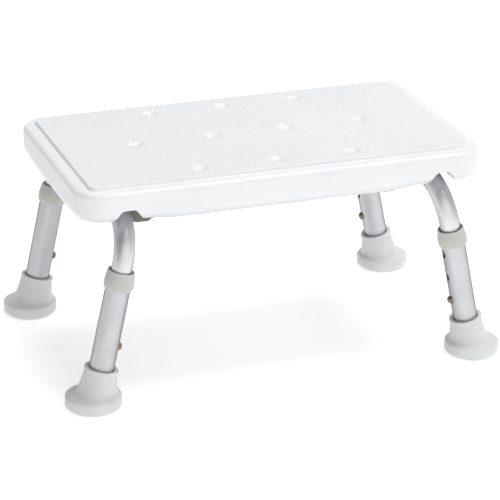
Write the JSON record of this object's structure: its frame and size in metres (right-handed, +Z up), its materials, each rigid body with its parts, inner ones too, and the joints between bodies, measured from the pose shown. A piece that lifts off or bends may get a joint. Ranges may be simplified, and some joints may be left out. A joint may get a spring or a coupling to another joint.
{
  "type": "shower stool",
  "caption": "Low rectangular shower stool: a hollow moulded seat with shallow dimples on splayed tube legs that slide out to several heights, with rubber feet.",
  "frame": {"origin": "on the floor under the middle of the seat, legs at their lowest setting", "axes": "+X along the seat's length, +Y to the back, +Z up"},
  "size_m": [0.4462, 0.2864, 0.2145],
  "materials": {
    "seat_plastic": "white moulded plastic, finely grained on the raised panel",
    "plug_plastic": "smooth moulded plastic",
    "upper_aluminium": "bright anodised",
    "lower_aluminium": "satin anodised",
    "collar_plastic": "grey moulded plastic",
    "button_brass": "turned",
    "spring_steel": "bright strip",
    "washer_steel": "zinc plated",
    "foot_rubber": "light grey, non-marking",
    "clamp_plastic": "olive-grey moulded plastic"
  },
  "bodies": {
    "frame": {"seat": "seat_plastic", "vent_plug": "plug_plastic", "upper_tube_left": "upper_aluminium", "upper_tube_right": "upper_aluminium", "tube_clamp_front_left": "clamp_plastic", "seat_insert_front_left": "button_brass", "tube_end_plug_front_left": "plug_plastic", "button_spring_front_left": "spring_steel", "tube_clamp_front_right": "clamp_plastic", "seat_insert_front_right": "button_brass", "tube_end_plug_front_right": "plug_plastic", "button_spring_front_right": "spring_steel", "tube_clamp_back_left": "clamp_plastic", "seat_insert_back_left": "button_brass", "tube_end_plug_back_left": "plug_plastic", "button_spring_back_left": "spring_steel", "tube_clamp_back_right": "clamp_plastic", "seat_insert_back_right": "button_brass", "tube_end_plug_back_right": "plug_plastic", "button_spring_back_right": "spring_steel"},
    "leg_front_left": {"lower_tube_front_left": "lower_aluminium", "tube_collar_front_left": "collar_plastic", "rubber_foot_front_left": "foot_rubber", "foot_washer_front_left": "washer_steel"},
    "button_front_left": {"snap_button_front_left": "button_brass"},
    "knob_front_left": {"clamp_knob_front_left": "clamp_plastic", "knob_stud_front_left": "washer_steel"},
    "leg_front_right": {"lower_tube_front_right": "lower_aluminium", "tube_collar_front_right": "collar_plastic", "rubber_foot_front_right": "foot_rubber", "foot_washer_front_right": "washer_steel"},
    "button_front_right": {"snap_button_front_right": "button_brass"},
    "knob_front_right": {"clamp_knob_front_right": "clamp_plastic", "knob_stud_front_right": "washer_steel"},
    "leg_back_left": {"lower_tube_back_left": "lower_aluminium", "tube_collar_back_left": "collar_plastic", "rubber_foot_back_left": "foot_rubber", "foot_washer_back_left": "washer_steel"},
    "button_back_left": {"snap_button_back_left": "button_brass"},
    "knob_back_left": {"clamp_knob_back_left": "clamp_plastic", "knob_stud_back_left": "washer_steel"},
    "leg_back_right": {"lower_tube_back_right": "lower_aluminium", "tube_collar_back_right": "collar_plastic", "rubber_foot_back_right": "foot_rubber", "foot_washer_back_right": "washer_steel"},
    "button_back_right": {"snap_button_back_right": "button_brass"},
    "knob_back_right": {"clamp_knob_back_right": "clamp_plastic", "knob_stud_back_right": "washer_steel"}
  },
  "joints": [
    {"name": "leg_slide_front_left", "type": "slide", "parent": "frame", "child": "leg_front_left", "axis": [-0.2079, 0, -0.9781], "range_m": [0, 0.0508], "deforming": ["snap_button_front_left", "button_spring_front_left"]},
    {"name": "button_press_front_left", "type": "slide", "parent": "frame", "child": "button_front_left", "axis": [-0.9781, 0, 0.2079], "range_m": [0, 0.005], "stiffness_N_per_m": 2000, "springref_m": -0.001, "deforming": ["button_spring_front_left"]},
    {"name": "knob_turn_front_left", "type": "hinge", "parent": "frame", "child": "knob_front_left", "pos_m": [-0.127, -0.041, 0.1785], "axis": [0, 0, 1], "range_deg": [0, 720]},
    {"name": "leg_slide_front_right", "type": "slide", "parent": "frame", "child": "leg_front_right", "axis": [0.2079, 0, -0.9781], "range_m": [0, 0.0508], "deforming": ["snap_button_front_right", "button_spring_front_right"]},
    {"name": "button_press_front_right", "type": "slide", "parent": "frame", "child": "button_front_right", "axis": [0.9781, 0, 0.2079], "range_m": [0, 0.005], "stiffness_N_per_m": 2000, "springref_m": -0.001, "deforming": ["button_spring_front_right"]},
    {"name": "knob_turn_front_right", "type": "hinge", "parent": "frame", "child": "knob_front_right", "pos_m": [0.127, -0.041, 0.1785], "axis": [0, 0, 1], "range_deg": [0, 720]},
    {"name": "leg_slide_back_left", "type": "slide", "parent": "frame", "child": "leg_back_left", "axis": [-0.2079, 0, -0.9781], "range_m": [0, 0.0508], "deforming": ["snap_button_back_left", "button_spring_back_left"]},
    {"name": "button_press_back_left", "type": "slide", "parent": "frame", "child": "button_back_left", "axis": [-0.9781, 0, 0.2079], "range_m": [0, 0.005], "stiffness_N_per_m": 2000, "springref_m": -0.001, "deforming": ["button_spring_back_left"]},
    {"name": "knob_turn_back_left", "type": "hinge", "parent": "frame", "child": "knob_back_left", "pos_m": [-0.127, 0.041, 0.1785], "axis": [0, 0, 1], "range_deg": [0, 720]},
    {"name": "leg_slide_back_right", "type": "slide", "parent": "frame", "child": "leg_back_right", "axis": [0.2079, 0, -0.9781], "range_m": [0, 0.0508], "deforming": ["snap_button_back_right", "button_spring_back_right"]},
    {"name": "button_press_back_right", "type": "slide", "parent": "frame", "child": "button_back_right", "axis": [0.9781, 0, 0.2079], "range_m": [0, 0.005], "stiffness_N_per_m": 2000, "springref_m": -0.001, "deforming": ["button_spring_back_right"]},
    {"name": "knob_turn_back_right", "type": "hinge", "parent": "frame", "child": "knob_back_right", "pos_m": [0.127, 0.041, 0.1785], "axis": [0, 0, 1], "range_deg": [0, 720]}
  ]
}
